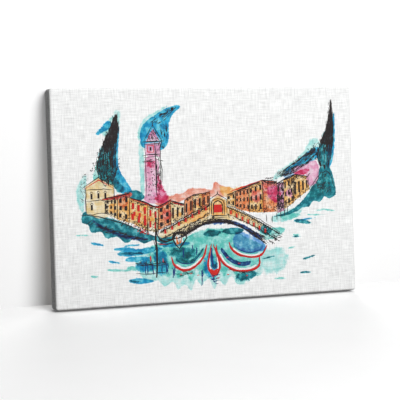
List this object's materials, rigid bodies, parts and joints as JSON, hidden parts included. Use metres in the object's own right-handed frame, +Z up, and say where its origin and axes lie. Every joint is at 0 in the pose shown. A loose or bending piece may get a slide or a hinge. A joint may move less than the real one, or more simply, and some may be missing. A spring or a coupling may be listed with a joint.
{
  "type": "stretched canvas picture",
  "caption": "Rectangular canvas picture wrapped round a keyed pine stretcher frame, with hinged hanging rings and wall bumpers; it leans against a wall or hangs on it.",
  "frame": {"origin": "middle of the bounding box at its base: under the middle of the picture, on the surface that its lower edge stands on", "axes": "+X to the right along the picture's width, +Y from the painted front to the back, +Z up along the picture's height"},
  "size_m": [0.6, 0.042, 0.4],
  "materials": {
    "primed_canvas": "matt primer over a plain weave",
    "pine": "planed, unfinished",
    "beech_key": "sawn, unfinished",
    "zinc_plated_steel": "bright zinc",
    "nickel_plated_steel": "nickel",
    "clear_grey_rubber": "soft, satin"
  },
  "bodies": {
    "picture_frame": {"canvas": "primed_canvas", "hanger_screw_left": "zinc_plated_steel", "hanger_screw_right": "zinc_plated_steel", "hanger_strap_left": "nickel_plated_steel", "hanger_strap_right": "nickel_plated_steel", "staple_bottom_1": "zinc_plated_steel", "staple_bottom_2": "zinc_plated_steel", "staple_bottom_3": "zinc_plated_steel", "staple_bottom_4": "zinc_plated_steel", "staple_bottom_5": "zinc_plated_steel", "staple_bottom_6": "zinc_plated_steel", "staple_bottom_7": "zinc_plated_steel", "staple_bottom_8": "zinc_plated_steel", "staple_bottom_9": "zinc_plated_steel", "staple_left_1": "zinc_plated_steel", "staple_left_2": "zinc_plated_steel", "staple_left_3": "zinc_plated_steel", "staple_left_4": "zinc_plated_steel", "staple_left_5": "zinc_plated_steel", "staple_left_6": "zinc_plated_steel", "staple_right_1": "zinc_plated_steel", "staple_right_2": "zinc_plated_steel", "staple_right_3": "zinc_plated_steel", "staple_right_4": "zinc_plated_steel", "staple_right_5": "zinc_plated_steel", "staple_right_6": "zinc_plated_steel", "staple_top_1": "zinc_plated_steel", "staple_top_2": "zinc_plated_steel", "staple_top_3": "zinc_plated_steel", "staple_top_4": "zinc_plated_steel", "staple_top_5": "zinc_plated_steel", "staple_top_6": "zinc_plated_steel", "staple_top_7": "zinc_plated_steel", "staple_top_8": "zinc_plated_steel", "staple_top_9": "zinc_plated_steel", "stretcher_bar_bottom": "pine", "stretcher_bar_left": "pine", "stretcher_bar_right": "pine", "stretcher_bar_top": "pine", "wall_bumper_left": "clear_grey_rubber", "wall_bumper_right": "clear_grey_rubber"},
    "key_level_bottom_left": {"key_level_bottom_left": "beech_key"},
    "key_level_bottom_right": {"key_level_bottom_right": "beech_key"},
    "key_level_top_left": {"key_level_top_left": "beech_key"},
    "key_level_top_right": {"key_level_top_right": "beech_key"},
    "key_upright_bottom_left": {"key_upright_bottom_left": "beech_key"},
    "key_upright_bottom_right": {"key_upright_bottom_right": "beech_key"},
    "key_upright_top_left": {"key_upright_top_left": "beech_key"},
    "key_upright_top_right": {"key_upright_top_right": "beech_key"},
    "hanger_ring_left": {"hanger_ring_left": "nickel_plated_steel"},
    "hanger_ring_right": {"hanger_ring_right": "nickel_plated_steel"}
  },
  "joints": [
    {"name": "key_level_bottom_left_slide", "type": "slide", "parent": "picture_frame", "child": "key_level_bottom_left", "axis": [1, 0, 0], "range_m": [0, 0.022]},
    {"name": "key_level_bottom_right_slide", "type": "slide", "parent": "picture_frame", "child": "key_level_bottom_right", "axis": [-1, 0, 0], "range_m": [0, 0.022]},
    {"name": "key_level_top_left_slide", "type": "slide", "parent": "picture_frame", "child": "key_level_top_left", "axis": [1, 0, 0], "range_m": [0, 0.022]},
    {"name": "key_level_top_right_slide", "type": "slide", "parent": "picture_frame", "child": "key_level_top_right", "axis": [-1, 0, 0], "range_m": [0, 0.022]},
    {"name": "key_upright_bottom_left_slide", "type": "slide", "parent": "picture_frame", "child": "key_upright_bottom_left", "axis": [0, 0, 1], "range_m": [0, 0.022]},
    {"name": "key_upright_bottom_right_slide", "type": "slide", "parent": "picture_frame", "child": "key_upright_bottom_right", "axis": [0, 0, 1], "range_m": [0, 0.022]},
    {"name": "key_upright_top_left_slide", "type": "slide", "parent": "picture_frame", "child": "key_upright_top_left", "axis": [0, 0, -1], "range_m": [0, 0.022]},
    {"name": "key_upright_top_right_slide", "type": "slide", "parent": "picture_frame", "child": "key_upright_top_right", "axis": [0, 0, -1], "range_m": [0, 0.022]},
    {"name": "hanger_ring_left_hinge", "type": "hinge", "parent": "picture_frame", "child": "hanger_ring_left", "pos_m": [-0.26805, 0.01825, 0.29], "axis": [1, 0, 0], "range_deg": [-4, 180]},
    {"name": "hanger_ring_right_hinge", "type": "hinge", "parent": "picture_frame", "child": "hanger_ring_right", "pos_m": [0.26805, 0.01825, 0.29], "axis": [1, 0, 0], "range_deg": [-4, 180]}
  ]
}
